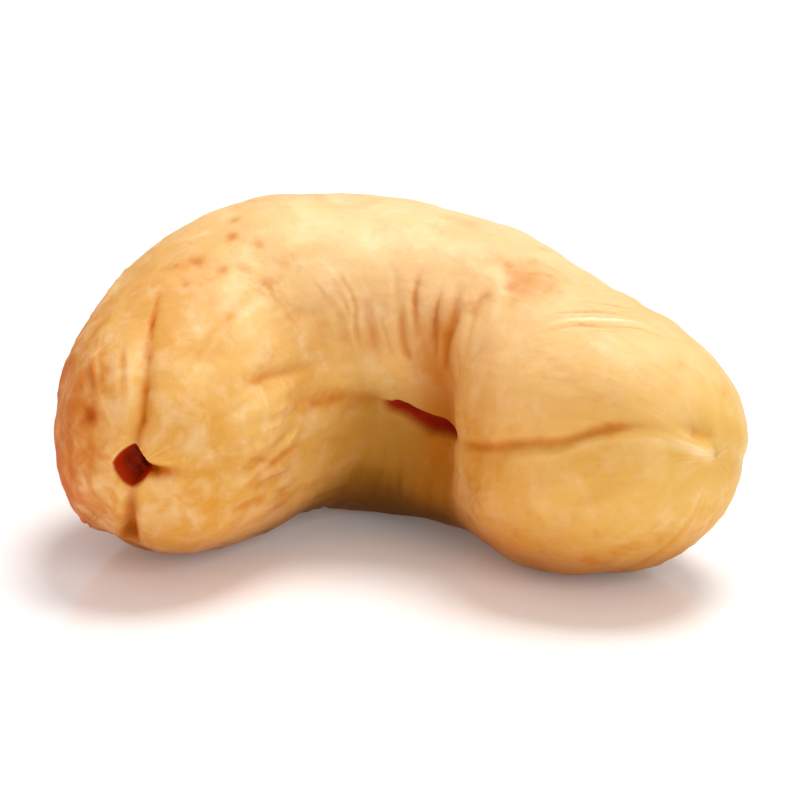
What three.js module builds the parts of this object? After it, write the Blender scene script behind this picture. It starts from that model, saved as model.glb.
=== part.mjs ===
// Roasted cashew kernel lying on its side, as one closed body.
// Millimetres, +Z up. +X runs along the length, the mouth of the curl opens toward -Y.
import * as THREE from 'three';
import { mergeVertices } from 'three/addons/utils/BufferGeometryUtils.js';

const vec = (x, y, z) => new THREE.Vector3(x, y, z);

// Middle of the section at seven stations, from the left tip to the right lobe.
const LINE = [
  vec(-8.4, 1.3, 5.3),
  vec(-7.1, 4.3, 5.5),
  vec(-4.5, 6.5, 6.3),
  vec(-0.9, 6.9, 6.4),
  vec(2.9, 5.2, 6.0),
  vec(5.9, 2.1, 5.6),
  vec(8.2, -0.1, 5.8),
];
// Reach of the section to the inner side of the curl and to the outer side, per station.
const DEPTH = [
  vec(4.3, 4.6, 0),
  vec(4.8, 4.9, 0),
  vec(4.9, 5.2, 0),
  vec(4.6, 5.3, 0),
  vec(4.4, 5.2, 0),
  vec(4.9, 5.0, 0),
  vec(5.0, 4.8, 0),
];
// Reach to the upper flank and to the lower flank, and the roll of the section in degrees.
const FLANK = [
  vec(4.8, 5.4, 0),
  vec(5.6, 5.4, 0),
  vec(6.0, 6.0, 0),
  vec(5.7, 6.4, 0),
  vec(5.5, 5.8, 8),
  vec(4.8, 5.6, 20),
  vec(4.3, 5.5, 33),
];
// Heading of the section in the plane of the curl and its pitch out of that plane, in degrees.
const AIM = [
  vec(74, -16, 0),
  vec(61, -8, 0),
  vec(38, 0, 0),
  vec(10, 0, 0),
  vec(-18, 2, 0),
  vec(-39, 8, 0),
  vec(-44, 13, 0),
];
const LEFT_CAP = 4.4; // the left tip reaches this far past its last section
const RIGHT_CAP = 4.4;
const TILT = 14; // degrees the plane of the curl leans forward
const POWER = 2.2; // 2 would make each section an ellipse
const END_ROUNDING = 2.6; // how late the sections close toward the tips

// Grooves and ridges on the skin: points along each, half width,
// and height at its start, middle and end. A negative height is a groove.
const CREASES = [
  { // crease up from the hole of the left tip
    points: [
      vec(-9.6, -2.7, 6.3),
      vec(-9.3, -2.5, 7.1),
      vec(-9.2, -1.9, 8.0),
      vec(-9.1, -0.9, 8.9),
      vec(-9.0, 0.5, 9.8),
      vec(-8.7, 2.0, 10.4),
    ],
    half: 0.32,
    height: [-0.35, -0.28, 0],
  },
  { // raised lip beside that crease
    points: [vec(-9.9, -2.3, 7.1), vec(-9.9, -1.7, 8.0), vec(-9.8, -0.8, 8.9), vec(-9.6, 0.4, 9.6)],
    half: 0.45,
    height: [0.1, 0.14, 0],
  },
  { // crack from the hole toward the inner side
    points: [vec(-9.3, -2.9, 5.4), vec(-8.8, -3.0, 5.3), vec(-8.3, -2.9, 5.3), vec(-7.7, -2.9, 5.3)],
    half: 0.22,
    height: [-0.8, -0.35, 0],
  },
  { // crack down to the notch under the tip
    points: [vec(-9.7, -2.8, 4.9), vec(-9.8, -2.6, 3.7), vec(-9.9, -2.0, 2.5), vec(-10.0, -1.0, 1.5)],
    half: 0.3,
    height: [-0.25, -0.45, -0.6],
  },
  { // pit beside the hole, on its outer side
    points: [vec(-10.4, -1.8, 6.8), vec(-10.8, -1.5, 6.8), vec(-11.2, -1.3, 6.9), vec(-11.7, -0.9, 6.9)],
    half: 0.28,
    height: [0, -0.35, 0],
  },
  { // upper crease of the left limb
    points: [vec(-6.0, -1.2, 8.0), vec(-5.3, -0.4, 7.9), vec(-4.6, 0.4, 7.8), vec(-3.2, 1.8, 7.6)],
    half: 0.45,
    height: [0, -0.14, -0.05],
  },
  { // lower crease of the left limb, running into the slot
    points: [vec(-5.3, -1.0, 7.1), vec(-3.0, 1.7, 6.3), vec(-1.2, 2.7, 5.9)],
    half: 0.45,
    height: [0, -0.14, -0.2],
  },
  { // ridge at the end of the right lobe
    points: [
      vec(9.2, -4.0, 7.5),
      vec(9.8, -4.0, 7.2),
      vec(10.5, -4.0, 6.7),
      vec(11.0, -3.6, 6.2),
      vec(11.4, -3.2, 5.6),
      vec(11.7, -2.6, 5.1),
    ],
    half: 0.35,
    height: [0.04, 0.13, 0],
  },
  { // groove above that ridge
    points: [vec(9.8, -3.9, 7.6), vec(10.4, -3.7, 7.4), vec(11.0, -3.4, 7.0), vec(11.6, -2.8, 6.3)],
    half: 0.4,
    height: [0, -0.14, 0],
  },
  { // curved ridge over the bend
    points: [vec(1.6, 3.4, 11.4), vec(2.4, 3.2, 11.1), vec(3.3, 2.5, 10.8), vec(3.9, 1.0, 10.2)],
    half: 0.45,
    height: [0, 0.12, 0],
  },
  { // fold where the wall of the curl meets the right lobe
    points: [
      vec(0.2, 2.8, 10.2),
      vec(0.5, 1.7, 8.4),
      vec(0.7, 1.3, 7.2),
      vec(0.7, 1.2, 5.6),
      vec(0.7, 1.5, 4.3),
      vec(1.0, 2.2, 2.6),
      vec(1.4, 3.6, 0.8),
    ],
    half: 1.1,
    height: [0, -0.85, 0],
  },
];
// Soft swellings and dents: centre, radius, height.
const SWELLINGS = [
  { centre: vec(3.9, -1.9, 5.6), radius: 2.2, height: 0.35 }, // ball of the right lobe
  { centre: vec(-11.0, -1.4, 2.4), radius: 1.5, height: -0.35 }, // flap under the left tip
  { centre: vec(-8.2, 0.1, 0.6), radius: 2.0, height: -0.35 }, // the left tip lifts off the ground
  { centre: vec(-10.4, 0.3, 1.1), radius: 1.2, height: -0.4 }, // notch behind the flap
  { centre: vec(-12.4, 1.2, 7.0), radius: 1.4, height: -0.18 }, // dent on the left side
  { centre: vec(3.2, -2.3, 6.1), radius: 0.4, height: 0.22 }, // knob at the start of the groove
];
// Hole in the left tip, in the tip's own plane: toward the inner side, and up.
const HOLE = { side: -0.2, up: -0.1, halfWidth: 0.76, halfHeight: 0.85, depth: 1.4 };
// Split line between the two halves, as pairs of the share of the way along the nut and a value:
// its height over the middle of the inner side, then the depths of its sharp groove,
// of the groove's soft shoulders and of the open slot in the bend.
const SPLIT_HEIGHT = [[0.2, 0], [0.38, 0.55], [0.48, 0.4], [0.6, -0.45], [0.93, -0.5], [1, 0.55]];
const GROOVE_DEPTH = [[0, 0.05], [0.72, 0.05], [0.8, 0.17], [0.975, 0.17], [0.993, 0.05]];
const SHOULDER_DEPTH = [[0.7, 0], [0.82, 0.3], [0.97, 0.3], [0.995, 0.12]];
const SLOT_DEPTH = [[0.4, 0], [0.5, 1.1], [0.64, 1.1], [0.7, 0]];
const GROOVE_HALF = 0.28; // half widths
const SHOULDER_HALF = 1.3;
const SLOT_HALF = 0.18;
const BACK_SEAM = { half: 0.4, depth: 0.05 }; // where the halves meet on the outer side
const UNEVEN = { slow: 0.07, quick: 0.035 };
const REST_SPOT = 0.15; // how much is worn flat at the lowest points

const ROWS = 88; // round the length
const COLUMNS = 60; // round the girth
const BEND_REACH = 0.6; // radians off the split line to which the columns bend along with it

const curve = (points) => new THREE.CatmullRomCurve3(points, false, 'catmullrom', 0.5);
const line = curve(LINE);
const depth = curve(DEPTH);
const flank = curve(FLANK);
const aim = curve(AIM);
const degrees = (value) => THREE.MathUtils.degToRad(value);

function smooth(low, high, x) {
  const w = THREE.MathUtils.clamp((x - low) / (high - low), 0, 1);
  return w * w * (3 - 2 * w);
}

function bump(x, half) {
  return Math.exp(-((x / half) ** 2));
}

// Value at x of a table of place and value, eased from one place to the next.
function eased(table, x) {
  let value = table[0][1];
  for (let k = 0; k + 1 < table.length; k += 1) {
    value += (table[k + 1][1] - table[k][1]) * smooth(table[k][0], table[k + 1][0], x);
  }
  return value;
}

// A signed power, for the superellipse of the section.
function bent(x, power) {
  return Math.sign(x) * Math.abs(x) ** power;
}

function mix(a, b, w) {
  return a + (b - a) * w;
}

// Axes of the section at t: along the nut, toward the inner side of the curl, and up its flank.
function sectionAt(t) {
  const s = t * t * (3 - 2 * t);
  const turn = aim.getPoint(s);
  const heading = degrees(turn.x);
  const pitch = degrees(turn.y);
  const across = vec(0, Math.cos(degrees(TILT)), Math.sin(degrees(TILT)));
  const normal = vec(0, -Math.sin(degrees(TILT)), Math.cos(degrees(TILT)));
  const flat = vec(Math.cos(heading), 0, 0).addScaledVector(across, Math.sin(heading));
  const along = flat.clone().multiplyScalar(Math.cos(pitch)).addScaledVector(normal, Math.sin(pitch));
  const lift = normal.clone().multiplyScalar(Math.cos(pitch)).addScaledVector(flat, -Math.sin(pitch));
  const side = along.clone().cross(lift);
  const roll = degrees(flank.getPoint(s).z);
  const inner = side.clone().multiplyScalar(Math.cos(roll)).addScaledVector(lift, Math.sin(roll));
  const up = lift.clone().multiplyScalar(Math.cos(roll)).addScaledVector(side, -Math.sin(roll));
  const x = 2 * t - 1;
  const close = 0.5 * Math.PI * x * Math.abs(x) ** END_ROUNDING;
  return { s, centre: line.getPoint(s), along, inner, up, close };
}

// Point of the plain form: t runs from tip to tip, phi round the girth from the inner side upward.
function plain(t, phi) {
  const at = sectionAt(t);
  const reach = depth.getPoint(at.s);
  const sides = flank.getPoint(at.s);
  const x = Math.cos(phi);
  const y = Math.sin(phi);
  const toInner = 0.5 + 0.5 * Math.sin(THREE.MathUtils.clamp(2 * x, -1, 1) * Math.PI / 2);
  const toUpper = 0.5 + 0.5 * Math.sin(THREE.MathUtils.clamp(2 * y, -1, 1) * Math.PI / 2);
  const a = mix(reach.y, reach.x, toInner) * bent(x, 2 / POWER) * Math.cos(at.close);
  const b = mix(sides.y, sides.x, toUpper) * bent(y, 2 / POWER) * Math.cos(at.close);
  const cap = t < 0.5 ? LEFT_CAP : RIGHT_CAP;
  const point = at.centre.clone();
  point.addScaledVector(at.inner, a);
  point.addScaledVector(at.up, b);
  point.addScaledVector(at.along, cap * Math.sin(at.close));
  return point;
}

// Outward normal of the plain form, from small steps along and round it.
function outward(t, phi) {
  const h = 1e-4;
  const inside = THREE.MathUtils.clamp(t, 0.004, 0.996);
  const along = plain(inside + h, phi).sub(plain(inside - h, phi));
  const round = plain(inside, phi + h).sub(plain(inside, phi - h));
  return along.cross(round).normalize();
}

// Distance from a point to a polyline, and the share of the polyline where it is nearest.
function nearest(point, points) {
  let distance = Infinity;
  let share = 0;
  for (let k = 0; k + 1 < points.length; k += 1) {
    const step = points[k + 1].clone().sub(points[k]);
    const w = THREE.MathUtils.clamp(point.clone().sub(points[k]).dot(step) / step.lengthSq(), 0, 1);
    const d = points[k].clone().addScaledVector(step, w).distanceTo(point);
    if (d < distance) {
      distance = d;
      share = (k + w) / (points.length - 1);
    }
  }
  return { distance, share };
}

const tip = sectionAt(0);
const tipPoint = plain(0, 0);

function hole(point) {
  const from = point.clone().sub(tipPoint);
  if (from.dot(tip.along) > 2) {
    return 0;
  }
  const side = Math.abs(from.dot(tip.inner) - HOLE.side) / HOLE.halfWidth;
  const up = Math.abs(from.dot(tip.up) - HOLE.up) / HOLE.halfHeight;
  return -HOLE.depth * (1 - smooth(0.45, 1.1, side + up));
}

function splitLine(t, phi) {
  const { s, close } = sectionAt(t);
  const x = Math.cos(phi);
  const y = Math.sin(phi);
  const sides = flank.getPoint(s);
  const height = Math.cos(close) * (y > 0 ? sides.x : sides.y) * bent(y, 2 / POWER);
  const shut = smooth(0.02, 0.2, Math.cos(close));
  const inner = smooth(0, 0.5, x) * shut;
  const outer = smooth(0, 0.5, -x) * shut;
  const off = height - eased(SPLIT_HEIGHT, s);
  const groove = eased(GROOVE_DEPTH, s) * bump(off, GROOVE_HALF);
  const shoulder = eased(SHOULDER_DEPTH, s) * bump(off, SHOULDER_HALF);
  const slot = eased(SLOT_DEPTH, s) * Math.exp(-((off / SLOT_HALF) ** 4));
  const seam = BACK_SEAM.depth * bump(height, BACK_SEAM.half);
  return -inner * (groove + shoulder + slot) - outer * seam;
}

function unevenness(p) {
  const slow = Math.sin(0.9 * p.x + 0.5 * p.y + 0.6) * Math.sin(0.8 * p.z - 0.5 * p.x + 1.1);
  const quick = Math.sin(2.1 * p.x - 1.3 * p.z) * Math.sin(1.9 * p.y + 1.1 * p.z + 0.7);
  return UNEVEN.slow * slow + UNEVEN.quick * quick;
}

// Height of the relief over the plain form at a point.
function relief(t, phi, point) {
  let height = splitLine(t, phi) + hole(point) + unevenness(point);
  for (const crease of CREASES) {
    const { distance, share } = nearest(point, crease.points);
    const [first, middle, last] = crease.height;
    height += eased([[0, first], [0.5, middle], [1, last]], share) * bump(distance, crease.half);
  }
  for (const swelling of SWELLINGS) {
    height += swelling.height * bump(swelling.centre.distanceTo(point), swelling.radius);
  }
  return height;
}

function skin(t, phi) {
  const point = plain(t, phi);
  return point.addScaledVector(outward(t, phi), relief(t, phi, point));
}

// Rows stand closer at both tips, columns closer along the split line.
function rowAt(v) {
  return v - 0.11 * Math.sin(2 * Math.PI * v);
}

function columnAt(u, t) {
  const turn = 2 * Math.PI * u;
  const draw = 0.06 * Math.sin(turn) + 0.02 * Math.sin(2 * turn) + 0.008 * Math.sin(3 * turn);
  const phi = turn - 2 * Math.PI * draw;
  const { s, close } = sectionAt(t);
  const rise = eased(SPLIT_HEIGHT, s);
  const sides = flank.getPoint(s);
  const split = bent(rise / (rise > 0 ? sides.x : sides.y), POWER / 2);
  const round = Math.min(phi, 2 * Math.PI - phi);
  return phi + split * smooth(0.02, 0.2, Math.cos(close)) * bump(round, BEND_REACH);
}

function kernelGeometry() {
  const sphere = new THREE.SphereGeometry(1, COLUMNS, ROWS);
  const position = sphere.attributes.position;
  const uv = sphere.attributes.uv;
  for (let i = 0; i < position.count; i += 1) {
    const v = THREE.MathUtils.clamp(1 - uv.getY(i), 0, 1);
    const t = rowAt(v);
    const atTip = v === 0 || v === 1;
    const point = skin(t, atTip ? 0 : columnAt(uv.getX(i), t));
    position.setXYZ(i, point.x, point.y, point.z);
  }
  sphere.deleteAttribute('uv');
  sphere.deleteAttribute('normal');
  const kernel = mergeVertices(sphere, 1e-4);
  kernel.computeBoundingBox();
  const floor = kernel.boundingBox.min.z + REST_SPOT;
  const spots = kernel.attributes.position;
  for (let i = 0; i < spots.count; i += 1) {
    spots.setZ(i, Math.max(spots.getZ(i), floor));
  }
  kernel.computeBoundingBox();
  const middle = kernel.boundingBox.getCenter(vec(0, 0, 0));
  kernel.translate(-middle.x, -middle.y, -floor);
  kernel.computeVertexNormals();
  return kernel;
}

const roasted = new THREE.MeshStandardMaterial({ name: 'kernel_flesh', color: '#e3b26a', roughness: 0.5 });
const kernel = new THREE.Mesh(kernelGeometry(), roasted);
kernel.name = 'kernel';

const part = new THREE.Group();
part.name = 'roasted_cashew';
part.add(kernel);
export default part;
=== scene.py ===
# %% [markdown]
# # A roasted cashew kernel
# This script dresses one small part: a roasted cashew that lies on its side with its curl open
# toward us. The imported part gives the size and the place. Everything that the eye enjoys is made
# here: a fine skin with its cracks and wrinkles, a warm flesh that lets a little light in, and a
# bright, soft studio. The first step loads the part as a fixed frame.

import bpy
import numpy as np
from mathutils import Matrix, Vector


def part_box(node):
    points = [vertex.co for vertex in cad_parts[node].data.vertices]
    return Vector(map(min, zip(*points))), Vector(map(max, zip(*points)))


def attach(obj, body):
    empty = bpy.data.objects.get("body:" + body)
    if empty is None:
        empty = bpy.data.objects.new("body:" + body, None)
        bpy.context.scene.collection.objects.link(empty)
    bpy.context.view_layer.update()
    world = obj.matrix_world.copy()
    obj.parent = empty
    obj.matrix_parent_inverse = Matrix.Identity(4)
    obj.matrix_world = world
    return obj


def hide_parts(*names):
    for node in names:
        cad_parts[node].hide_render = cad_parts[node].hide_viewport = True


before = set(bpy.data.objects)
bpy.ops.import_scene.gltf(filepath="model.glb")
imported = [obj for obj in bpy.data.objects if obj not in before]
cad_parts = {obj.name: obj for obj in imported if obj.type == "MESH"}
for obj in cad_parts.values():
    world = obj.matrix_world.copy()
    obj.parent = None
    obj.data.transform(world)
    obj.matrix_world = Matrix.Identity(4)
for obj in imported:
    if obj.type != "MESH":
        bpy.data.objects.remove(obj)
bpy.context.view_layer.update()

MM = 0.001  # the form is written in millimetres, Blender works in metres

# %% [markdown]
# ## The plain form
# A cashew is a fat sausage bent into a comma. It could be sculpted, but a rule is easier to
# correct: a row of sections strung on a curve. The tables below give that curve and the reach of
# the section to each of its four sides at seven stations, from the left tip to the right lobe.
# The heading, pitch and roll turn each section, so that they fan out round the bend and never
# cross one another on its tight inner side.

# %% Stations along the kernel
LINE = [  # middle of the section
    (-8.4, 1.3, 5.3),
    (-7.1, 4.3, 5.5),
    (-4.5, 6.5, 6.3),
    (-0.9, 6.9, 6.4),
    (2.9, 5.2, 6.0),
    (5.9, 2.1, 5.6),
    (8.2, -0.1, 5.8),
]
# reach to the inner and the outer side, and to the upper and the lower flank
DEPTH = [(4.3, 4.6), (4.8, 4.9), (4.9, 5.2), (4.6, 5.3), (4.4, 5.2), (4.9, 5.0), (5.0, 4.8)]
FLANK = [(4.8, 5.4), (5.6, 5.4), (6.0, 6.0), (5.7, 6.4), (5.5, 5.8), (4.8, 5.6), (4.3, 5.5)]
AIM = [  # heading in the plane of the curl, pitch out of it, roll of the section, in degrees
    (74, -16, 0),
    (61, -8, 0),
    (38, 0, 0),
    (10, 0, 0),
    (-18, 2, 8),
    (-39, 8, 20),
    (-44, 13, 33),
]
CAP = 4.4  # each tip reaches this far past its last section
TILT = 14  # degrees the plane of the curl leans forward
POWER = 2.2  # 2 would make each section an ellipse
END_ROUNDING = 2.6  # how late the sections close toward the tips
print(len(LINE), "stations")

# %% [markdown]
# A few short helpers do most of the work. A spline runs smoothly through the stations. The others
# shape one number by another: steps without corners, soft hills, and tables of places and values.
# Because each takes a whole grid of numbers at once, the finest skin still takes only seconds.

# %% Helpers
def spline(stations, s):
    """A smooth curve through the stations; s runs from 0 to 1."""
    p = np.array(stations, float)
    p = np.vstack([2 * p[0] - p[1], p, 2 * p[-1] - p[-2]])
    x = np.clip(s, 0, 1) * (len(stations) - 1)
    i = np.minimum(x.astype(int), len(stations) - 2)
    w = (x - i)[..., None]
    before, start, end, after = p[i], p[i + 1], p[i + 2], p[i + 3]
    leave, arrive = (end - before) / 2, (after - start) / 2
    bend = 3 * (end - start) - 2 * leave - arrive
    return start + leave * w + bend * w**2 + (2 * (start - end) + leave + arrive) * w**3


def smooth(low, high, x):
    """Eases from 0 at low to 1 at high, also where low is the larger."""
    w = np.clip((x - low) / (high - low), 0, 1)
    return w * w * (3 - 2 * w)


def bump(x, half):
    """A soft hill, 1 at the middle."""
    return np.exp(-((x / half) ** 2))


def eased(table, x):
    """Reads a table of places and values, with a soft step from each value to the next."""
    value = np.full(np.shape(x), float(table[0][1]))
    for (x0, y0), (x1, y1) in zip(table, table[1:]):
        value += (y1 - y0) * smooth(x0, x1, x)
    return value


def bent(x, power):
    """A power that keeps the sign."""
    return np.sign(x) * np.abs(x) ** power


print("half way along, the middle of the section is at", spline(LINE, np.array(0.5)).round(1), "mm")

# %% [markdown]
# Now the form itself. The number t runs from tip to tip and phi runs round the girth, from the
# inner side of the curl upward. Near the tips the angle called close swings the section shut, so
# both ends are round like the ends of a sphere, and the whole skin is one closed sheet.

# %% The form as a function
def section(t):
    """The share of the way, the middle, the three axes and the closing angle of the section at t."""
    s = t * t * (3 - 2 * t)
    heading, pitch, roll = np.radians(np.moveaxis(spline(AIM, s), -1, 0))[..., None]
    tilt = np.radians(TILT)
    across = np.array([0, np.cos(tilt), np.sin(tilt)])
    normal = np.array([0, -np.sin(tilt), np.cos(tilt)])
    flat = np.cos(heading) * np.array([1, 0, 0]) + np.sin(heading) * across
    along = np.cos(pitch) * flat + np.sin(pitch) * normal
    lift = np.cos(pitch) * normal - np.sin(pitch) * flat
    side = np.cross(along, lift)
    inner = np.cos(roll) * side + np.sin(roll) * lift
    up = np.cos(roll) * lift - np.sin(roll) * side
    x = 2 * t - 1
    close = np.pi / 2 * x * np.abs(x) ** END_ROUNDING
    return s, spline(LINE, s), along, inner, up, close


def between(pair, weight):
    """The first of a pair at weight 1, the second at weight 0."""
    return pair[..., 1] + (pair[..., 0] - pair[..., 1]) * weight


def plain(t, phi):
    """Point of the plain form."""
    s, centre, along, inner, up, close = section(t)
    x, y = np.cos(phi), np.sin(phi)
    to_inner = 0.5 + 0.5 * np.sin(np.clip(2 * x, -1, 1) * np.pi / 2)
    to_upper = 0.5 + 0.5 * np.sin(np.clip(2 * y, -1, 1) * np.pi / 2)
    a = between(spline(DEPTH, s), to_inner) * bent(x, 2 / POWER) * np.cos(close)
    b = between(spline(FLANK, s), to_upper) * bent(y, 2 / POWER) * np.cos(close)
    return centre + a[..., None] * inner + b[..., None] * up + (CAP * np.sin(close))[..., None] * along


def outward(t, phi):
    """Outward normal of the plain form, from small steps along and round it."""
    h = 1e-4
    t = np.clip(t, 0.004, 0.996)
    n = np.cross(plain(t + h, phi) - plain(t - h, phi), plain(t, phi + h) - plain(t, phi - h))
    return n / np.linalg.norm(n, axis=-1, keepdims=True)


print("the left tip is at", plain(np.zeros(1), np.zeros(1))[0].round(1), "mm")

# %% [markdown]
# ## Creases, ridges and cracks
# What makes the kernel a cashew is the relief on that form. Each crease is a polyline on the skin
# with a half width and a height at its start, middle and end: negative is a groove. The last number
# says how much it browns the flesh, partly from roasting and partly as painted shade in the crease;
# a negative one paints a ridge paler, as a painted highlight. A list like this stays readable,
# because each entry is something that can be pointed at: the crease above the hole, the fold beside
# the right lobe.

# %% Creases
ABOVE_HOLE = [
    (-9.6, -2.7, 6.3), (-9.3, -2.5, 7.1), (-9.2, -1.9, 8.0),
    (-9.1, -0.9, 8.9), (-9.0, 0.5, 9.8), (-8.7, 2.0, 10.4),
]
ON_LEFT_LIMB = [(-6.0, -1.2, 8.0), (-5.3, -0.4, 7.9), (-4.6, 0.4, 7.8), (-3.2, 1.8, 7.6)]
CREASES = [  # points, half width, heights, browning with painted shade, negative for a painted highlight
    (ABOVE_HOLE, 0.32, (-0.35, -0.28, 0), 0.5),
    # raised lip beside that crease, painted paler as a highlight
    ([(-9.9, -2.3, 7.1), (-9.9, -1.7, 8.0), (-9.8, -0.8, 8.9), (-9.6, 0.4, 9.6)],
     0.45, (0.1, 0.14, 0), -0.25),
    # cracks from the hole, inward and down to the notch, and the pit on its outer side
    ([(-9.3, -2.9, 5.4), (-8.8, -3.0, 5.3), (-8.3, -2.9, 5.3), (-7.7, -2.9, 5.3)],
     0.22, (-0.8, -0.35, 0), 2.6),
    ([(-9.7, -2.8, 4.9), (-9.8, -2.6, 3.7), (-9.9, -2.0, 2.5), (-10.0, -1.0, 1.5)],
     0.3, (-0.25, -0.45, -0.6), 0.9),
    ([(-10.4, -1.8, 6.8), (-10.8, -1.5, 6.8), (-11.2, -1.3, 6.9), (-11.7, -0.9, 6.9)],
     0.28, (0, -0.35, 0), 1.2),
    # two faint creases on the left limb, the lower one running into the slot
    (ON_LEFT_LIMB, 0.45, (0, -0.14, -0.05), 0.4),
    ([(-5.3, -1.0, 7.1), (-3.0, 1.7, 6.3), (-1.2, 2.7, 5.9)],
     0.45, (0, -0.14, -0.2), 0.5),
    # ridge at the end of the right lobe, painted paler as a highlight, and the groove above it
    ([(9.2, -4.0, 7.5), (9.8, -4.0, 7.2), (10.5, -4.0, 6.7),
      (11.0, -3.6, 6.2), (11.4, -3.2, 5.6), (11.7, -2.6, 5.1)],
     0.35, (0.04, 0.13, 0), -0.22),
    ([(9.8, -3.9, 7.6), (10.4, -3.7, 7.4), (11.0, -3.4, 7.0), (11.6, -2.8, 6.3)],
     0.4, (0, -0.14, 0), 0.35),
    # curved ridge over the bend, painted paler as a highlight
    ([(1.6, 3.4, 11.4), (2.4, 3.2, 11.1), (3.3, 2.5, 10.8), (3.9, 1.0, 10.2)],
     0.45, (0, 0.12, 0), -0.1),
    # fold where the wall of the curl meets the right lobe
    ([(0.2, 2.8, 10.2), (0.5, 1.7, 8.4), (0.7, 1.3, 7.2), (0.7, 1.2, 5.6),
      (0.7, 1.5, 4.3), (1.0, 2.2, 2.6), (1.4, 3.6, 0.8)],
     1.1, (0, -0.85, 0), 0.5),
]
SWELLINGS = [  # centre, radius, height
    ((3.9, -1.9, 5.6), 2.2, 0.35),  # ball of the right lobe
    ((-11.0, -1.4, 2.4), 1.5, -0.35),  # flap under the left tip
    ((-8.2, 0.1, 0.6), 2.0, -0.35),  # the left tip lifts off the ground
    ((-10.4, 0.3, 1.1), 1.2, -0.4),  # notch behind the flap
    ((-12.4, 1.2, 7.0), 1.4, -0.18),  # dent on the left side
    ((3.2, -2.3, 6.1), 0.4, 0.22),  # knob at the start of the groove
]
print(len(CREASES), "creases and", len(SWELLINGS), "swellings")

# %% [markdown]
# The two halves of the kernel meet in a split line along the inner side. In the bend it gapes as a
# narrow slot, on the right lobe it is a thin groove with soft shoulders. It follows from t and phi,
# because it runs along the form. The hole in the left tip is where the sprout sat. It follows from
# the distances to its middle, because it is cut into one place.

# %% Split line and hole
# pairs of the share of the way along the kernel and a value in millimetres
SPLIT_HEIGHT = [(0.2, 0), (0.38, 0.55), (0.48, 0.4), (0.6, -0.45), (0.93, -0.5), (1, 0.55)]
GROOVE_DEPTH = [(0, 0.05), (0.72, 0.05), (0.8, 0.17), (0.975, 0.17), (0.993, 0.05)]
SHOULDER_DEPTH = [(0.7, 0), (0.82, 0.3), (0.97, 0.3), (0.995, 0.12)]
SLOT_DEPTH = [(0.4, 0), (0.5, 1.1), (0.64, 1.1), (0.7, 0)]
GROOVE_HALF, SHOULDER_HALF, SLOT_HALF = 0.28, 1.3, 0.18
SEAM_HALF, SEAM_DEPTH = 0.4, 0.05  # where the halves meet on the outer side
HOLE_SIDE, HOLE_UP, HOLE_HALF_WIDTH, HOLE_HALF_HEIGHT, HOLE_DEPTH = -0.2, -0.1, 0.76, 0.85, 1.4
HOLE_END = 2.0  # how far along the kernel the hole reaches
HOLE_POWER = 1.35  # rounds the corners of the hole in the fine skin


def split_line(t, phi, slot_half=SLOT_HALF):
    """Depths of the groove, its shoulders, the slot and the back seam, and the height over the line."""
    s, _, _, _, _, close = section(t)
    x, y = np.cos(phi), np.sin(phi)
    height = np.cos(close) * between(spline(FLANK, s), y > 0) * bent(y, 2 / POWER)
    shut = smooth(0.02, 0.2, np.cos(close))
    inner, outer = smooth(0, 0.5, x) * shut, smooth(0, 0.5, -x) * shut
    off = height - eased(SPLIT_HEIGHT, s)
    groove = inner * eased(GROOVE_DEPTH, s) * bump(off, GROOVE_HALF)
    shoulder = inner * eased(SHOULDER_DEPTH, s) * bump(off, SHOULDER_HALF)
    slot = inner * eased(SLOT_DEPTH, s) * np.exp(-((off / slot_half) ** 4))
    return groove, shoulder, slot, outer * SEAM_DEPTH * bump(height, SEAM_HALF), off


def left_tip():
    """The point of the left tip, and the axes of the section there: along, inner and up."""
    start = np.zeros(1)
    _, _, along, inner, up, _ = section(start)
    return plain(start, start)[0], along[0], inner[0], up[0]


def hole(p, edge=0.45, depth=HOLE_DEPTH, power=1.0):
    """Depth of the hole. A higher edge makes its rim crisper, and power rounds its corners."""
    tip, along, inner, up = left_tip()
    off = p - tip
    x = np.abs(off @ inner - HOLE_SIDE) / HOLE_HALF_WIDTH
    y = np.abs(off @ up - HOLE_UP) / HOLE_HALF_HEIGHT
    return depth * (1 - smooth(edge, 1.1, x**power + y**power)) * (off @ along <= HOLE_END)


print("the slot is at most", max(depth for _, depth in SLOT_DEPTH), "mm deep")

# %% [markdown]
# ## Wrinkles too fine for the solid part
# Roasting shrinks the flesh, and it gathers into little wrinkles: across the tight bend and down
# its wall, in a fan beside the hole, along the left limb, and as fine lines on top of the right
# lobe. The ones that catch the eye are placed one by one. The many others repeat, so loops draw them
# on the plain form, each with a seeded random wobble. A wrinkle is a polyline with a half width, a
# depth and a browning, which is partly painted shade. A negative depth makes a ridge, and a
# negative browning paints it paler, as a painted highlight.

# %% Fine wrinkles
rng = np.random.default_rng(11)


def stroke(t0, phi0, t1, phi1, half, depth, tint, points=6, wobble=0.01):
    """A wrinkle from one place on the form to another, each given by t and degrees round the girth."""
    w = np.linspace(0, 1, points)
    sway = wobble * rng.uniform(-1, 1) * np.sin(np.pi * w)
    phi = np.radians(phi0 + (phi1 - phi0) * w)
    return plain(t0 + (t1 - t0) * w + sway, phi), half, depth, tint


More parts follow.
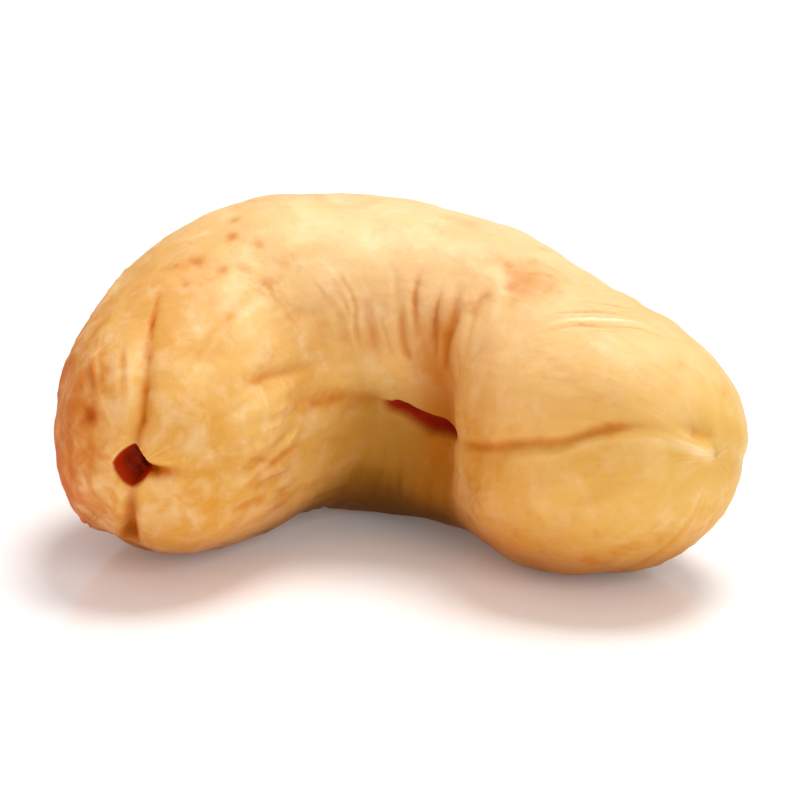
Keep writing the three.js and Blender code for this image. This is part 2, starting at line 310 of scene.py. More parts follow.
wrinkles = [  # points, half width, depth, browning with painted shade, negative for a painted highlight
    # sharp line in the crease above the hole, and its fainter twin on the other side of the lip
    (ABOVE_HOLE, 0.13, 0.1, 1.6),
    ([(-10.0, -2.3, 7.5), (-10.0, -1.4, 8.5), (-10.1, -0.2, 9.2)], 0.15, 0.06, 0.5),
    # sharp line in the upper crease of the left limb, and three slanting lines below it, one raised and
    # painted paler as a highlight
    (ON_LEFT_LIMB, 0.14, 0.06, 0.35),
    ([(-5.9, -1.9, 4.0), (-5.1, -1.1, 4.5), (-4.3, 0.0, 4.8), (-3.6, 1.2, 5.0)], 0.18, 0.06, 0.25),
    ([(-5.9, -2.0, 4.4), (-5.1, -1.2, 4.9), (-4.3, -0.1, 5.2), (-3.6, 1.1, 5.3)], 0.22, -0.04, -0.15),
    ([(-6.2, -2.1, 4.8), (-5.3, -1.4, 5.2), (-4.5, -0.4, 5.5), (-3.7, 1.0, 5.6)], 0.15, 0.04, 0.15),
    # strongest gathers of the bend
    stroke(0.552, 64, 0.548, 32, 0.15, 0.11, 0.5),
    stroke(0.577, 54, 0.58, 24, 0.2, 0.13, 0.35),
    stroke(0.611, 58, 0.6, 20, 0.2, 0.15, 0.5),
    stroke(0.522, 48, 0.524, 22, 0.16, 0.08, 0.45),
    stroke(0.45, 50, 0.445, 16, 0.5, 0.08, 0.25),
    # fan to the right of the hole
    stroke(0.099, -4, 0.19, 7, 0.22, 0.08, 0.35),
    stroke(0.109, -10, 0.226, -8, 0.22, 0.08, 0.35),
    stroke(0.101, -22, 0.165, -17, 0.22, 0.08, 0.35),
    # painted highlight on the edge of the curved ridge over the bend
    stroke(0.637, 80, 0.684, 44, 0.3, -0.04, -0.35),
    # lines along the top of the right lobe, the second one raised, with a painted highlight
    stroke(0.752, 46, 0.875, 87, 0.13, 0.09, 0.35),
    stroke(0.756, 52, 0.862, 88, 0.15, -0.06, -0.4),
    stroke(0.742, 60, 0.83, 92, 0.12, 0.08, 0.35),
    stroke(0.747, 76, 0.795, 98, 0.12, 0.07, 0.3),
]
for t in np.linspace(0.37, 0.67, 26):  # gathers across the bend
    t += rng.uniform(-0.008, 0.008)
    start = rng.uniform(14, 40)
    reach = rng.uniform(8, 34)
    depth = rng.uniform(0.02, 0.06)
    end = t + rng.uniform(-0.02, 0.03)
    wrinkles.append(stroke(t, start, end, start + reach, rng.uniform(0.08, 0.18), depth, 3 * depth))
for t in np.linspace(0.4, 0.62, 14):  # gathers down the wall of the curl
    start = -rng.uniform(6, 20)
    reach = rng.uniform(20, 45)
    depth = rng.uniform(0.03, 0.06)
    end = t + rng.uniform(-0.02, 0.02)
    wrinkles.append(stroke(t, start, end, start - reach, rng.uniform(0.12, 0.25), depth, 4 * depth))
for k in range(16):  # faint lines along the left limb
    phi = 70 - 8 * k + rng.uniform(-4, 4)
    start = rng.uniform(0.09, 0.3)
    length = rng.uniform(0.05, 0.14)
    wrinkles.append(stroke(start, phi, start + length, phi - 6, rng.uniform(0.1, 0.25), 0.04, 0.12))
for k in range(7):  # lines along the top of the right lobe
    early, late = rng.uniform(0, 0.3), rng.uniform(0.55, 1)
    start, end = (0.742 + 0.006 * k, 62 - 3 * k), (0.822 + 0.0105 * k, 104 - 3.5 * k)
    t0, t1 = (start[0] + (end[0] - start[0]) * w for w in (early, late))
    phi0, phi1 = (start[1] + (end[1] - start[1]) * w for w in (early, late))
    half, depth = rng.uniform(0.06, 0.14), rng.uniform(0.03, 0.06)
    wrinkles.append(stroke(t0, phi0, t1, phi1, half, depth, 4 * depth, wobble=0.008))
for k in range(40):  # faint lines over the back
    t, phi = rng.uniform(0.12, 0.88), rng.uniform(100, 290)
    length, drift = rng.uniform(0.04, 0.14), rng.uniform(-14, 14)
    half = rng.uniform(0.12, 0.3)
    wrinkles.append(stroke(t, phi, t + length, phi + drift, half, 0.035, 0.1, wobble=0.02))
print(len(wrinkles), "wrinkles")

# %% [markdown]
# A few small dents lie on the left shoulder, darkened by painted shade, and roasting leaves stains
# that belong to no crease. Both are round spots, so a centre and a radius are enough. Two stains are
# painted shade instead, in the pit beside the hole and in the dent on the left side. One stain is
# broken up by small specks from the same random numbers, or else it would look airbrushed.

# %% Dents and stains
DENTS = [
    (-6.2, 4.6, 11.7), (-7.4, 3.5, 11.1), (-6.5, 3.0, 10.9),
    (-6.1, 5.6, 12.0), (-7.8, 2.3, 10.6), (-5.2, 4.0, 11.6),
]
DENT_RADIUS, DENT_DEPTH, DENT_SHADE = 0.28, 0.06, 0.45
stains = [  # centre, radius, browning
    ((4.4, 2.4, 10.7), 1.4, 0.5),  # beside the curved ridge
    ((-11.0, -1.4, 6.8), 0.4, 1.2),  # painted shade in the pit beside the hole
    ((-12.1, 1.7, 7.4), 1.1, 0.3),  # painted shade in the dent on the left side
    ((-11.0, -0.8, 8.1), 0.7, 0.5),  # between the pit and the raised lip
    ((-8.0, 3.3, 10.9), 0.8, 0.25),  # beside the small dents
]
for k in range(16):  # specks in the stain beside the curved ridge
    centre = np.array([4.6, 2.3, 10.7]) + rng.uniform(-1, 1, 3) * (1.6, 1.4, 0.3)
    stains.append((centre, rng.uniform(0.15, 0.35), rng.uniform(0.1, 0.25)))
print(len(DENTS), "dents and", len(stains), "stains")

# %% [markdown]
# The relief adds everything up, as a height along the outward normal. The same pass notes how
# brown each place gets, because the browning follows the same cracks and folds: partly roasting,
# partly painted shade in the cracks, dents and groove, and where it is negative a painted highlight
# on raised lips and ridges. It also returns masks for the material: the inside of the slot, painted
# shade on the wall of the curl, the shade low on that wall, and painted shade in the fold beside the
# lobe. With fine switched off it gives the coarser solid part.

# %% Relief and browning
SLOW_WAVE, QUICK_WAVE = 0.07, 0.035
FINE_SLOT_HALF, FINE_SLOT_SHARE = 0.2, 0.6  # half width, and depth as a share of the solid's slot
GAPE, GAPE_PLACE, GAPE_LENGTH = 0.16, 0.56, 0.08  # the slot is this much wider at that share of the way
FINE_RIM, FINE_HOLE_DEPTH = 0.75, 0.9  # of the hole: a crisper edge, and a shallower bottom
RIM = 0.4  # strength of the faint raised rims beside a wrinkle
LIP_OFFSET, LIP_HALF, LIP_HEIGHT, LIP_HIGHLIGHT = 0.5, 0.22, 0.04, 0.12  # raised lip below the groove, painted paler as a highlight
GROOVE_SHADE = 0.55 / 0.17  # painted shade for each millimetre of the groove's depth


def nearest(p, points):
    """Distance to a polyline, and the share of it where it is nearest."""
    points = np.array(points, float)
    distance, share = np.full(p.shape[:-1], np.inf), np.zeros(p.shape[:-1])
    for k, (a, b) in enumerate(zip(points, points[1:])):
        w = np.clip((p - a) @ (b - a) / ((b - a) @ (b - a)), 0, 1)
        d = np.linalg.norm(p - a - w[..., None] * (b - a), axis=-1)
        share = np.where(d < distance, (k + w) / (len(points) - 1), share)
        distance = np.minimum(d, distance)
    return distance, share


def unevenness(p):
    """Slow and quick waves that keep the form from being perfect."""
    x, y, z = np.moveaxis(p, -1, 0)
    slow = np.sin(0.9 * x + 0.5 * y + 0.6) * np.sin(0.8 * z - 0.5 * x + 1.1)
    quick = np.sin(2.1 * x - 1.3 * z) * np.sin(1.9 * y + 1.1 * z + 0.7)
    return SLOW_WAVE * slow + QUICK_WAVE * quick


def relief(t, phi, p, fine=True):
    """Height over the plain form, and the browning, painted shade and painted highlight that go with it."""
    s = section(t)[0]
    if fine:
        slot_half = FINE_SLOT_HALF + GAPE * bump(s - GAPE_PLACE, GAPE_LENGTH)
        groove, shoulder, slot, seam, off = split_line(t, phi, slot_half)
        slot = slot * FINE_SLOT_SHARE
        pit = hole(p, FINE_RIM, FINE_HOLE_DEPTH, HOLE_POWER)
        lip = smooth(0.86, 0.92, s) * bump(off + LIP_OFFSET, LIP_HALF) * smooth(0.2, 0.6, np.cos(phi))
    else:
        groove, shoulder, slot, seam, off = split_line(t, phi)
        pit = hole(p)
        lip = 0
    height = unevenness(p) - groove - shoulder - slot - seam - pit + LIP_HEIGHT * lip
    # painted shade in the groove, and a painted highlight on the lip below it
    roast_and_painted_shading = GROOVE_SHADE * groove - LIP_HIGHLIGHT * lip
    for points, half, heights, tint in CREASES:
        distance, share = nearest(p, points)
        here = eased([(0, heights[0]), (0.5, heights[1]), (1, heights[2])], share) * bump(distance, half)
        height += here
        # a crease's browning is partly roasting and partly painted shade; a negative one is a painted
        # highlight on a ridge
        roast_and_painted_shading += tint * here / max(heights, key=abs)
    for points, half, depth, tint in wrinkles if fine else []:
        distance, share = nearest(p, points)
        here = np.sin(np.pi * share) ** 0.7
        height -= depth * here * ((1 + RIM) * bump(distance, half) - RIM * bump(distance, 2.5 * half))
        # a wrinkle's browning is partly roasting and partly painted shade; a negative one is a painted
        # highlight on a raised line
        roast_and_painted_shading += tint * here * bump(distance, half)
    for centre, radius, amount in SWELLINGS:
        height += amount * bump(np.linalg.norm(p - np.array(centre), axis=-1), radius)
    for centre in DENTS if fine else []:
        spot = bump(np.linalg.norm(p - np.array(centre), axis=-1), DENT_RADIUS)
        height -= DENT_DEPTH * spot
        # painted shade in each dent
        roast_and_painted_shading += DENT_SHADE * spot
    for centre, radius, amount in stains:
        roast_and_painted_shading += amount * bump(np.linalg.norm(p - np.array(centre), axis=-1), radius)
    socket = smooth(0.08, 0.4, slot)
    inside = smooth(0.3, 0.7, np.cos(phi)) * smooth(0.03, 0.38, s) * (1 - smooth(0.64, 0.715, s))
    # painted shade on the wall of the curl
    shaded_wall = inside * smooth(2.2, -0.8, off)
    shade = inside * smooth(-2.2, -4.2, off)
    # painted shade in the fold beside the lobe, weaker below the slot
    fold_shade = smooth(0.55, 0.95, np.cos(phi)) * smooth(0.5, 0.62, s) * smooth(0.705, 0.665, s)
    fold_shade *= 1 - 0.6 * smooth(0, -3, off)
    return height, {"roast_and_painted_shading": roast_and_painted_shading, "socket": socket, "shaded_wall": shaded_wall, "shade": shade, "fold_shade": fold_shade}


def skin(t, phi, fine=True):
    p = plain(t, phi)
    height, marks = relief(t, phi, p, fine)
    return p + height[..., None] * outward(t, phi), marks


deepest = min(min(heights) for _, _, heights, _ in CREASES)
print("the deepest crease goes", -deepest, "mm into the skin")

# %% [markdown]
# ## The place in the frame
# The solid part was moved after it was made, so that it rests on the floor with its middle at the
# origin. The same coarse grid is worked out here once more to find that move, and then a much
# finer one is laid over the same form. On the floor the kernel is worn flat in small spots.

# %% The grid
COARSE = (88, 60)
FINE = (420, 232)
TIP_CROWDING = 0.11  # how far the rows crowd toward the tips
SPLIT_CROWDING = (0.06, 0.02, 0.008)  # how far the columns crowd toward the split line, in three waves
REST_SPOT = 0.15  # how much is worn flat at the lowest points
BEND_REACH = 0.6  # radians off the split line to which the columns bend along with it


def grid(rows, columns):
    """t and phi on a grid that is denser at the tips and along the split line."""
    v, u = np.meshgrid(np.linspace(0, 1, rows + 1), np.arange(columns) / columns, indexing="ij")
    t = v - TIP_CROWDING * np.sin(2 * np.pi * v)
    turn = 2 * np.pi * u
    phi = turn - 2 * np.pi * sum(share * np.sin(k * turn) for k, share in enumerate(SPLIT_CROWDING, 1))
    s, _, _, _, _, close = section(t)
    rise = eased(SPLIT_HEIGHT, s)
    split = bent(rise / between(spline(FLANK, s), rise > 0), POWER / 2)
    near = bump(np.minimum(phi, 2 * np.pi - phi), BEND_REACH)
    phi = phi + split * smooth(0.02, 0.2, np.cos(close)) * near
    return t, np.where((v == 0) | (v == 1), 0, phi)


coarse, _ = skin(*grid(*COARSE), fine=False)
floor_height = coarse[..., 2].min() + REST_SPOT
middle = (coarse.reshape(-1, 3).min(0) + coarse.reshape(-1, 3).max(0)) / 2
move = np.array([middle[0], middle[1], floor_height])
print("the form is moved by", (-move).round(3), "mm")

# %% [markdown]
# ## The skin as a mesh
# The rows of the grid become quads, and the first and last rows close as two fans of triangles.
# Six attributes go with the points: the browning with its painted shade and highlight, the four
# masks, and the place on the kernel pulled straight, which lets a pattern run along the flesh round
# the whole bend.

# %% Build the skin
LENGTH, ROUND = 34.0, 5.3  # length and radius of the straightened kernel


def skin_mesh(rows, columns):
    t, phi = grid(rows, columns)
    p, marks = skin(t, phi)
    p[..., 2] = np.maximum(p[..., 2], floor_height)
    points = (p - move) * MM
    s = section(t)[0]
    straight = np.stack([ROUND * np.cos(phi), ROUND * np.sin(phi), LENGTH * s], axis=-1)
    keep = np.r_[0, columns : columns * rows, columns * rows]  # one vertex for each tip
    index = np.zeros((rows + 1, columns), int)
    index[1:-1] = 1 + np.arange((rows - 1) * columns).reshape(rows - 1, columns)
    index[-1] = 1 + (rows - 1) * columns
    faces, corners = [], []
    for i in range(rows):
        for j in range(columns):
            k = (j + 1) % columns
            loop = [(i, j, j), (i, k, j + 1), (i + 1, k, j + 1), (i + 1, j, j)]
            if i == 0:
                loop.pop(1)
            if i == rows - 1:
                loop.pop(2)
            faces.append([index[a, b] for a, b, _ in loop])
            corners += [(c / columns, a / rows) for a, _, c in loop]
    mesh = bpy.data.meshes.new("kernel_skin")
    mesh.from_pydata(points.reshape(-1, 3)[keep].tolist(), [], faces)
    mesh.uv_layers.new(name="skin").data.foreach_set("uv", np.array(corners).ravel())
    for name, values in marks.items():
        layer = mesh.attributes.new(name, "FLOAT", "POINT")
        layer.data.foreach_set("value", values.ravel()[keep].astype(np.float32))
    layer = mesh.attributes.new("straight", "FLOAT_VECTOR", "POINT")
    layer.data.foreach_set("vector", straight.reshape(-1, 3)[keep].astype(np.float32).ravel())
    return mesh


base = bpy.data.objects.new("kernel_base", skin_mesh(*FINE))
bpy.context.scene.collection.objects.link(base)
print(len(base.data.vertices), "vertices,", len(base.data.polygons), "faces")

# %% [markdown]
# ## Node helpers
# Node trees are easier to read as sums than as wires. Net holds one tree, of a material or of
# Geometry Nodes, and adds a node to it: its settings first, then the values or links of its
# sockets. Number wraps a socket, so that 1 - mask or mask * 0.5 adds the Math node for us.

# %% Node helpers
class Number:
    """A socket that can be written into sums."""

    def __init__(self, net, socket):
        self.net, self.socket = net, socket

    def math(self, operation, *values):
        node = self.net.node("ShaderNodeMath", {"operation": operation}, dict(enumerate(values)))
        return Number(self.net, node.outputs[0])

    def __add__(self, other):
        return self.math("ADD", self, other)

    def __sub__(self, other):
        return self.math("SUBTRACT", self, other)

    def __rsub__(self, other):
        return self.math("SUBTRACT", other, self)

    def __mul__(self, other):
        return self.math("MULTIPLY", self, other)

    __radd__, __rmul__ = __add__, __mul__

    def __pow__(self, other):
        return self.math("POWER", self, other)

    def __abs__(self):
        return self.math("ABSOLUTE", self)

    def at_least(self, low):
        return self.math("MAXIMUM", self, low)

    def clamp(self):
        return self.math("MINIMUM", self.at_least(0.0), 1.0)


class Net:
    """A node tree, and short ways to add nodes to it."""

    def __init__(self, tree):
        self.tree = tree

    def node(self, kind, settings=None, sockets=None):
        node = self.tree.nodes.new(kind)
        for name, value in (settings or {}).items():
            setattr(node, name, value)
        for name, value in (sockets or {}).items():
            if isinstance(value, Number):
                value = value.socket
            if isinstance(value, bpy.types.NodeSocket):
                self.tree.links.new(value, node.inputs[name])
            else:
                node.inputs[name].default_value = value
        return node

    def noise(self, place, scale, detail=2.0, rough=0.5, distortion=0.0, seed=None):
        """Noise from 0 to 1 round 0.5; scale is in waves per unit of place."""
        sockets = {
            "Vector": place, "Scale": scale, "Detail": detail, "Roughness": rough, "Distortion": distortion}
        if seed is None:
            node = self.node("ShaderNodeTexNoise", None, sockets)
        else:
            node = self.node("ShaderNodeTexNoise", {"noise_dimensions": "4D"}, {**sockets, "W": seed})
        return Number(self, node.outputs["Fac"])

    def step(self, low, high, value):
        """Eases from 0 at low to 1 at high, also where low is the larger."""
        node = self.node("ShaderNodeMapRange", {"interpolation_type": "SMOOTHSTEP"}, {
            "Value": value, "From Min": low, "From Max": high})
        return Number(self, node.outputs["Result"])

    def part(self, vector, axis):
        """One part of a vector."""
        node = self.node("ShaderNodeSeparateXYZ", None, {0: vector})
        return Number(self, node.outputs[axis])

    def vector(self, operation, first, second, output="Vector"):
        """A sum, difference, product or the like of two vectors."""
        node = self.node("ShaderNodeVectorMath", {"operation": operation}, {0: first, 1: second})
        return node.outputs[output]

    def attribute(self, name, output="Fac"):
        node = self.node("ShaderNodeAttribute", {"attribute_name": name})
        return Number(self, node.outputs[output])

    def mix(self, factor, first, second, blend="MIX"):
        """The first colour at factor 0, the second laid over it at 1."""
        node = self.node("ShaderNodeMix", {"data_type": "RGBA", "blend_type": blend}, {
            0: factor, 6: first, 7: second})
        return node.outputs[2]


def material_net(name):
    """A new material and its empty tree."""
    material = bpy.data.materials.new(name)
    material.use_nodes = True
    material.node_tree.nodes.clear()
    return material, Net(material.node_tree)


def colour(code):
    """A colour as written on a web page, as the linear numbers that a shader takes."""
    channels = [int(code[i : i + 2], 16) / 255 for i in (1, 3, 5)]
    return tuple(c / 12.92 if c <= 0.04045 else ((c + 0.055) / 1.055) ** 2.4 for c in channels) + (1.0,)


WHITE = colour("#ffffff")
print("the middle grey of a web page is", round(colour("#808080")[0], 2), "in linear numbers")

# %% [markdown]
# ## The roasted flesh
# Roasted flesh has no single colour: it is cream where it stayed pale, golden over most of the
# kernel, and toasted orange or brown in its cracks and folds. So the material is built like a
# watercolour, with a light ground first and darker layers over it, each laid on through a mask.
# Some layers are painted shade, in the cracks, folds, hollows and low down, and some are painted
# highlights on the ridges and on top.

# %% Colours of the flesh
CREAM, PALE, YELLOW, GOLDEN = (colour(code) for code in ("#f2dab0", "#e2b468", "#dab05a", "#d29638"))
TOASTED_AND_SHADED, DEEP = colour("#c46e04"), colour("#8c4004")  # toast and painted shade in cracks, folds and low down, and the darkest of them
SHADED_WALL, SHADE = colour("#a87010"), colour("#744608")  # painted shade on the wall of the curl, and painted shade on its foot and near the floor
FOLD_SHADE = colour("#ba6a0c")  # painted shade in the fold beside the right lobe
SOCKET, HOLE_SHADE = colour("#b02e06"), colour("#3c1004")  # slot and hole, and painted shade at the bottom of the hole
SCORCHED_AND_SHADED = colour("#eab45c")  # multiplies the colours of the left tip: scorching, and painted shade
print("golden flesh is", [round(c, 2) for c in GOLDEN[:3]], "in linear numbers")

# %% [markdown]
# The hole in the left tip has a crisp rim. The points of the mesh lie too far apart for an
# attribute to draw such a rim, so the shader works the outline out for every spot that it paints,
# with the same numbers as the hole itself.

# %% Mask of the hole
OUTSIDE = 9.0  # added past the end of the hole, so that the mask reads as outside there


def hole_reach(net, place):
    """0 in the middle of the hole in the left tip, 1 at its outline."""
    tip, along, inner, up = left_tip()
    centre = tip + HOLE_SIDE * inner + HOLE_UP * up - move
    off = net.vector("SUBTRACT", place, tuple(centre * MM))

    def distance(axis, size):
        """How far the place is from the middle along an axis, as a share of size."""
        return Number(net, net.vector("DOT_PRODUCT", off, tuple(axis / size / MM), "Value"))

    x, y = distance(inner, HOLE_HALF_WIDTH), distance(up, HOLE_HALF_HEIGHT)
    past_end = net.step(HOLE_END, HOLE_END + 0.5, distance(along, 1.0))
    return abs(x) ** HOLE_POWER + abs(y) ** HOLE_POWER + past_end * OUTSIDE


print("the hole is", 2 * HOLE_HALF_WIDTH, "by", 2 * HOLE_HALF_HEIGHT, "mm")

# %% [markdown]
# The masks come from three sources. Attributes tell what the skin is like at each point. Noise of
# several sizes gives clouds, blotches and flecks, and noise on the straightened kernel, drawn out
# along its length, gives streaks. They fade at both tips, where that pattern would be squeezed
# together. The place tells the left tip and the foot of the kernel apart from the rest.

# %% Masks of the flesh
flesh_material, flesh = material_net("roasted_flesh")
place = flesh.node("ShaderNodeTexCoord").outputs["Object"]
straight = flesh.attribute("straight", "Vector")
roast_and_painted_shading, slot, shaded_wall, shade, fold_shade, crumple = (
    flesh.attribute(name) for name in ("roast_and_painted_shading", "socket", "shaded_wall", "shade", "fold_shade", "crumple"))

clouds = flesh.noise(place, 220.0, 3.0, 0.55, 0.3)
blotches = flesh.noise(place, 620.0, 3.0, 0.6)
flecks = flesh.noise(place, 1000.0, 3.0, 0.55, 0.4)
mottle = flesh.noise(place, 1100.0, 2.0, 0.5, 0.4)
grain = flesh.noise(place, 3200.0, 3.0, 0.65)
way = flesh.part(straight, "Z")
between_tips = flesh.step(0.5, 3.5, way) * flesh.step(LENGTH - 0.5, LENGTH - 3.0, way)
streaks = flesh.noise(flesh.vector("MULTIPLY", straight, (1.0, 1.0, 0.16)), 2.4, 3.0, 0.6)
streaks = (streaks - 0.5) * between_tips + 0.5

x, z = flesh.part(place, "X"), flesh.part(place, "Z")
reach = hole_reach(flesh, place)
socket = (slot + flesh.step(1.02, 0.86, reach)).clamp()
# the left tip: partly scorched, partly painted shade and painted warm reflected light
left_scorch_and_shade = flesh.step(-0.01, -0.013, x + (clouds - 0.5) * 0.004 + (flecks - 0.5) * 0.004)
right = flesh.step(0.001, 0.007, x)
shoulder = flesh.step(0.006, 0.0115, z) * flesh.step(-0.014, 0.001, x)  # painted highlight: the top of the left limb is paler, as lit from above
# painted shade: darker brown near the floor
floor_shade = flesh.step(0.0024, 0.0003, z)
# painted shade: browner toward the bottom of the kernel
low = flesh.step(0.005, 0.0, z)
print(len(flesh.tree.nodes), "nodes for the masks")

# %% [markdown]
# Now the layers go on, from light to dark: golden clouds on the pale ground, a yellower right
# lobe, a painted highlight on top of the left limb, cream flecks and painted highlights on the
# ridges, then the toast and painted shade in the cracks and low down, and last the painted shade on
# the wall of the curl and in the fold, the slot, and painted shade deep in the hole. The left tip,
# partly scorched and partly painted shade, is laid on by multiplying, so that the flecks beneath
# still show, as they do through real toast.

# %% Layers of colour
tint = flesh.mix(flesh.step(0.36, 0.64, clouds * 0.8 + streaks * 0.2), PALE, GOLDEN)
tint = flesh.mix(right * 0.55, tint, YELLOW)
tint = flesh.mix(shoulder * 0.5, tint, CREAM)
fewer = flesh.step(0.0, 0.005, x) * 0.2  # flecks are fainter on the right
tint = flesh.mix(flesh.step(0.44, 0.74, flecks * 0.7 + streaks * 0.3) * (0.45 - fewer), tint, CREAM)
# painted highlight: where the browning is negative, on raised lips and ridges, the flesh turns cream
tint = flesh.mix(flesh.step(0.0, -0.5, roast_and_painted_shading), tint, CREAM)
spots = flesh.step(0.5, 0.75, blotches) * 0.2 + flesh.step(0.5, 0.25, mottle) * 0.15
# toast in the blotches, toast and painted shade in the cracks, painted shade low down, and the wrinkles a
# little darker
toast_and_shade = (roast_and_painted_shading + low * 0.65 + spots + crumple * 0.3 + (streaks - 0.5) * 0.1).clamp()
tint = flesh.mix(flesh.step(0.0, 1.0, toast_and_shade), tint, TOASTED_AND_SHADED)
# the darkest cracks: toast and painted shade
tint = flesh.mix(flesh.step(0.75, 1.6, roast_and_painted_shading), tint, DEEP)
tint = flesh.mix(left_scorch_and_shade * 0.75, tint, SCORCHED_AND_SHADED, "MULTIPLY")
# painted shade: darker low down on the left tip
tint = flesh.mix(left_scorch_and_shade * flesh.step(0.01, 0.003, z) * 0.9, tint, SCORCHED_AND_SHADED, "MULTIPLY")
# painted shade on the wall of the curl
tint = flesh.mix((shaded_wall * 0.85).clamp(), tint, SHADED_WALL)
# painted shade on the foot of the wall and near the floor
tint = flesh.mix((shade * 0.65 + floor_shade * 0.5).clamp(), tint, SHADE)
# painted shade in the fold beside the lobe
tint = flesh.mix((fold_shade * 0.65).clamp(), tint, FOLD_SHADE)
tint = flesh.mix(socket, tint, SOCKET)
# painted shade deep in the hole
tint = flesh.mix(flesh.step(0.8, 0.2, reach) * 0.4, tint, HOLE_SHADE)
print(len(flesh.tree.nodes), "nodes with the colours")

# %% [markdown]
# A nut isn't opaque like paint: some light goes in and comes out again nearby, warmer. Subsurface
# scattering does that, with red reaching furthest. The oily sheen on top is slight and uneven,
# duller on the left tip and on the wall, and fine bumps break it up.

# %% Surface of the flesh
rough = 0.42 + (grain - 0.5) * 0.2 + (clouds - 0.5) * 0.2 + left_scorch_and_shade * 0.3 + (shaded_wall + fold_shade) * 0.25
bumps = flesh.node("ShaderNodeBump", None, {
    "Strength": 0.6, "Distance": 0.0001, "Height": grain * 0.5 + streaks * 0.15 + mottle * 0.5})
surface = flesh.node("ShaderNodeBsdfPrincipled", None, {
    "Base Color": tint,
    "Roughness": rough.clamp(),
    "Normal": bumps.outputs[0],
    "Subsurface Weight": 0.35,
    "Subsurface Radius": (1.0, 0.6, 0.25),
    "Subsurface Scale": 0.0006,
    "Specular IOR Level": 0.1,
    "Coat Weight": 0.04,
    "Coat Roughness": 0.3,
})
flesh.node("ShaderNodeOutputMaterial", None, {"Surface": surface.outputs[0]})
print(len(flesh.tree.nodes), "nodes in the flesh")

# %% [markdown]
# ## Fine grain by Geometry Nodes
# The skin is not glassy. It has a low orange-peel grain, faint fibres along its length, and a
# network of fine wrinkles where it shrank. All three follow the surface wherever it turns, so a
# small node tree makes them: it moves each point along its normal by noise. It also stores the
# wrinkles as the attribute crumple, which the flesh reads to darken them a little. The sizes are
# inputs of the modifier, and the skin near the floor is left alone, so that the kernel still rests.

# %% Grain tree
GRAIN_INPUTS = {"Grain height": 0.00014, "Fibre height": 0.0001, "Wrinkle depth": 0.00008, "Seed": 3.0}


def grain_tree():
    tree = bpy.data.node_groups.new("skin_grain", "GeometryNodeTree")
    face = tree.interface
    face.new_socket("Geometry", in_out="INPUT", socket_type="NodeSocketGeometry")
    for name, value in GRAIN_INPUTS.items():
        face.new_socket(name, in_out="INPUT", socket_type="NodeSocketFloat").default_value = value
    face.new_socket("Material", in_out="INPUT", socket_type="NodeSocketMaterial")
    face.new_socket("Geometry", in_out="OUTPUT", socket_type="NodeSocketGeometry")

    net = Net(tree)
    given = net.node("NodeGroupInput").outputs
    position = net.node("GeometryNodeInputPosition").outputs[0]
    straight = net.node("GeometryNodeInputNamedAttribute", {"data_type": "FLOAT_VECTOR"}, {
        "Name": "straight"}).outputs[0]

    def waves(place, scale, distortion=0.0):
        """Noise round zero."""
        return net.noise(place, scale, distortion=distortion, seed=given["Seed"]) - 0.5

    def drawn(stretch):
        """The straightened kernel, so that a pattern on it is drawn out along the flesh."""
        return net.vector("MULTIPLY", straight, (1.0, 1.0, stretch))

    grain = waves(position, 800.0) * given["Grain height"]
    fibres = waves(drawn(0.12), 1.7) * given["Fibre height"]
    way = net.part(straight, "Z")
    left_limb = net.step(16.0, 11.0, way).at_least(0.4)  # most wrinkles are there
    between_tips = net.step(0.15, 0.8, way) * left_limb * net.step(LENGTH - 0.15, LENGTH - 0.8, way)
    line = net.step(0.055, 0.0, abs(waves(drawn(0.3), 0.8, distortion=0.5)))
    crumple = line * (between_tips * net.step(-0.08, 0.1, waves(position, 300.0)))
    height = grain + fibres - crumple * given["Wrinkle depth"]
    free = net.node("ShaderNodeMapRange", None, {"Value": net.part(position, "Z"), "From Max": 0.0003})

    offset = net.node("ShaderNodeVectorMath", {"operation": "SCALE"}, {
        0: net.node("GeometryNodeInputNormal").outputs[0], "Scale": height * free.outputs[0]})
    noted = net.node("GeometryNodeStoreNamedAttribute", {"data_type": "FLOAT", "domain": "POINT"}, {
        "Geometry": given["Geometry"], "Name": "crumple", "Value": crumple})
    moved = net.node("GeometryNodeSetPosition", None, {
        "Geometry": noted.outputs[0], "Offset": offset.outputs[0]})
    shaded = net.node("GeometryNodeSetShadeSmooth", None, {"Geometry": moved.outputs[0]})
    real = net.node("GeometryNodeRealizeInstances", None, {"Geometry": shaded.outputs[0]})
    dressed = net.node("GeometryNodeSetMaterial", None, {
        "Geometry": real.outputs[0], "Material": given["Material"]})
    net.node("NodeGroupOutput", None, {0: dressed.outputs[0]})
    return tree


modifier = base.modifiers.new("skin grain", "NODES")
modifier.node_group = grain_tree()
values = {**GRAIN_INPUTS, "Material": flesh_material}
for item in modifier.node_group.interface.items_tree:
    if item.in_out == "INPUT" and item.name in values:
        modifier[item.identifier] = values[item.name]
print("inputs of the tree:", ", ".join(values))

# %% [markdown]
# The evaluated object is turned into a plain mesh. A finer mesh reaches a hair further out than
# the coarse solid, so every point is held inside the box of the part.

# %% The finished piece
evaluated = base.evaluated_get(bpy.context.evaluated_depsgraph_get())
mesh = bpy.data.meshes.new_from_object(evaluated)
mesh.name = "kernel_skin"
base.modifiers.clear()
bpy.data.objects.remove(base)

box_low, box_high = (np.array(corner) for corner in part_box("kernel"))
points = np.zeros(len(mesh.vertices) * 3)
mesh.vertices.foreach_get("co", points)
points = points.reshape(-1, 3)
excess = max((points.max(0) - box_high).max(), (box_low - points.min(0)).max())
mesh.vertices.foreach_set("co", np.clip(points, box_low, box_high).ravel())
mesh.update()

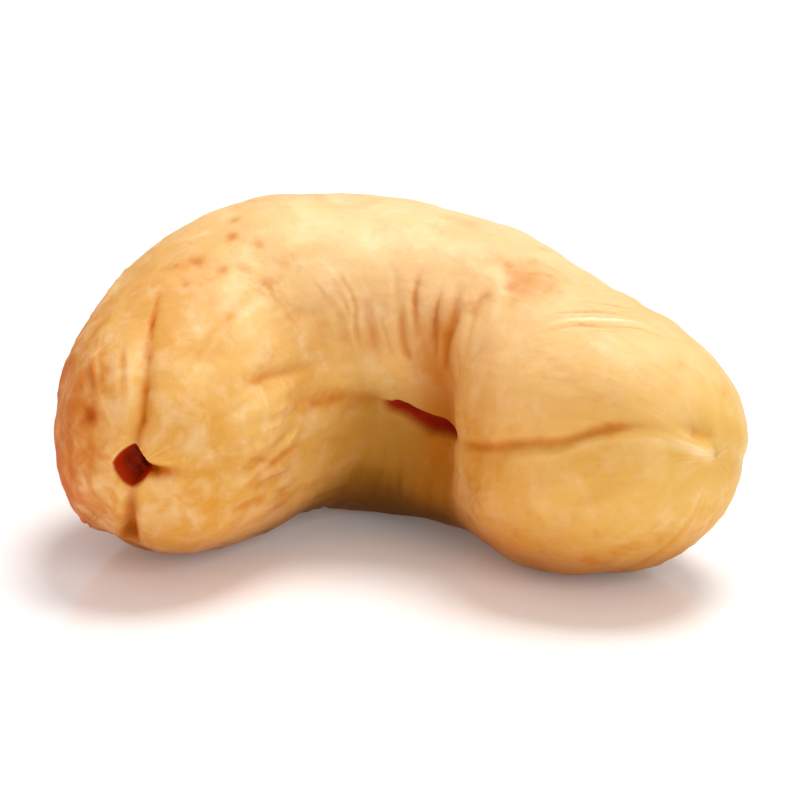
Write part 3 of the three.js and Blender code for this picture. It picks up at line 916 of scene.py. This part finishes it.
skin_piece = bpy.data.objects.new("kernel_skin", mesh)
bpy.context.scene.collection.objects.link(skin_piece)
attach(skin_piece, "root")
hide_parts("kernel")
print("the skin reached", round(excess / MM, 3), "mm past the box before it was held in")

# %% [markdown]
# ## Floor, light and camera
# The photograph is bright and soft: white ground, a big light above and slightly behind, and light
# from all round. The floor is white with a faint shine, so the kernel leaves a soft dark rim and a
# warm blur beneath it.

# %% Floor
FLOOR_SIZE = 1.2
half = FLOOR_SIZE / 2
corners = [(-half, -half, 0), (half, -half, 0), (half, half, 0), (-half, half, 0)]

floor_material, shine = material_net("studio_floor")
floor_surface = shine.node("ShaderNodeBsdfPrincipled", None, {
    "Base Color": WHITE,
    "Roughness": 0.12,
    "IOR": 1.8,
    "Emission Color": WHITE,
    "Emission Strength": 0.08,
})
shine.node("ShaderNodeOutputMaterial", None, {"Surface": floor_surface.outputs[0]})
floor_mesh = bpy.data.meshes.new("floor")
floor_mesh.from_pydata(corners, [], [(0, 1, 2, 3)])
floor_mesh.materials.append(floor_material)
floor = bpy.data.objects.new("floor", floor_mesh)
bpy.context.scene.collection.objects.link(floor)
print("the floor is", FLOOR_SIZE, "m wide")

# %% [markdown]
# Area lights the size of the subject or larger give soft edges to the shadows. The key light hangs
# above and a little behind the kernel, a larger one in front opens the shadows, and a warm card on
# the left stands for the golden light that the photograph has there. Each looks at the kernel.

# %% Lights
TARGET = Vector((0.0, -0.0005, 0.0056))  # middle of the kernel
SKY = 0.42  # strength of the light from all round


def area_light(name, place, size, power, tint="#ffffff"):
    data = bpy.data.lights.new(name, "AREA")
    data.shape, data.size, data.energy = "DISK", size, power
    data.color = colour(tint)[:3]
    light = bpy.data.objects.new(name, data)
    light.location = place
    light.rotation_euler = (TARGET - Vector(place)).to_track_quat("-Z", "Y").to_euler()
    bpy.context.scene.collection.objects.link(light)
    return light


lights = [
    area_light("key above", (0.045, 0.065, 0.22), 0.12, 0.46),
    area_light("front", (0.17, -0.28, 0.16), 0.25, 0.6),
    area_light("warm card on the left", (-0.25, -0.08, 0.05), 0.2, 0.2, "#ff9440"),
]
world = bpy.data.worlds.new("studio")
world.use_nodes = True
background = world.node_tree.nodes["Background"]
background.inputs["Color"].default_value = WHITE
background.inputs["Strength"].default_value = SKY
bpy.context.scene.world = world
bpy.context.scene.view_settings.view_transform = "Standard"
print(len(lights), "lights")

# %% [markdown]
# The camera stands 45 cm away, 20 degrees above the floor, and looks into the open side of the
# curl. The long lens keeps the outline as flat as in the photograph.

# %% Camera
DISTANCE, ELEVATION = 0.45, np.radians(20)
FRAME_WIDTH = 0.0292  # how wide a stretch the image shows at the kernel's distance

camera = bpy.data.objects.new("camera", bpy.data.cameras.new("camera"))
back = Vector((0.0, -np.cos(ELEVATION), np.sin(ELEVATION)))
camera.location = TARGET + back * DISTANCE
camera.rotation_euler = (-back).to_track_quat("-Z", "Y").to_euler()
camera.data.lens = camera.data.sensor_width * DISTANCE / FRAME_WIDTH
camera.data.clip_start, camera.data.clip_end = 0.01, 10.0
bpy.context.scene.collection.objects.link(camera)
bpy.context.scene.camera = camera
print("the lens is", round(camera.data.lens), "mm long")
